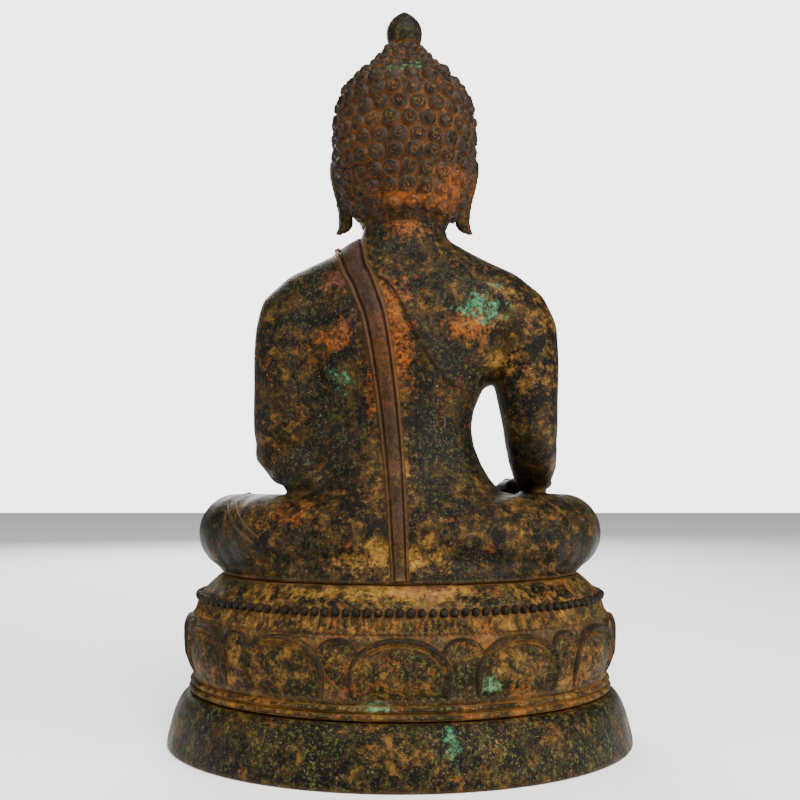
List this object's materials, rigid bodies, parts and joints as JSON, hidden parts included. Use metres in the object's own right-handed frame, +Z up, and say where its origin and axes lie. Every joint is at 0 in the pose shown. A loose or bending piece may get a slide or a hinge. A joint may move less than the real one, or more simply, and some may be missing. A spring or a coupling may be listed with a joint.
{
  "type": "buddha statue",
  "caption": "Hollow-cast bronze seated Buddha in the earth-touching pose on an oval lotus throne, with a lift-off lotus-bud finial.",
  "frame": {"origin": "centre of the throne's underside, on the floor", "axes": "+Z up, the figure faces -Y, and its left side is +X"},
  "size_m": [0.309, 0.253, 0.5],
  "materials": {
    "throne_bronze": "patinated, earthy",
    "body_bronze": "dark patina, satin",
    "hair_bronze": "dark patina, matte",
    "sash_bronze": "dark red-brown patina",
    "rivet_bronze": "rough",
    "core_iron": "rusted"
  },
  "bodies": {
    "statue": {"foot": "throne_bronze", "lower_moulding": "throne_bronze", "lotus_drum": "throne_bronze", "large_petals": "throne_bronze", "small_petals": "throne_bronze", "stamen_collar": "throne_bronze", "bead_row": "throne_bronze", "seat_cap": "throne_bronze", "seat_rivets": "rivet_bronze", "pelvis": "body_bronze", "right_leg": "body_bronze", "left_leg": "body_bronze", "right_foot": "body_bronze", "left_foot": "body_bronze", "torso": "body_bronze", "right_arm": "body_bronze", "left_arm": "body_bronze", "right_hand": "body_bronze", "left_hand": "body_bronze", "neck": "body_bronze", "neck_pins": "core_iron", "face": "body_bronze", "hair_cap": "hair_bronze", "hair_curls": "hair_bronze", "right_ear": "body_bronze", "left_ear": "body_bronze", "topknot": "hair_bronze", "back_sash": "sash_bronze", "front_sash": "sash_bronze", "robe_edge": "sash_bronze", "core_pins": "core_iron"},
    "bud": {"finial": "hair_bronze"}
  },
  "joints": [
    {"name": "finial_lift", "type": "slide", "parent": "statue", "child": "bud", "axis": [0, 0, 1], "range_m": [0, 0.03]}
  ]
}
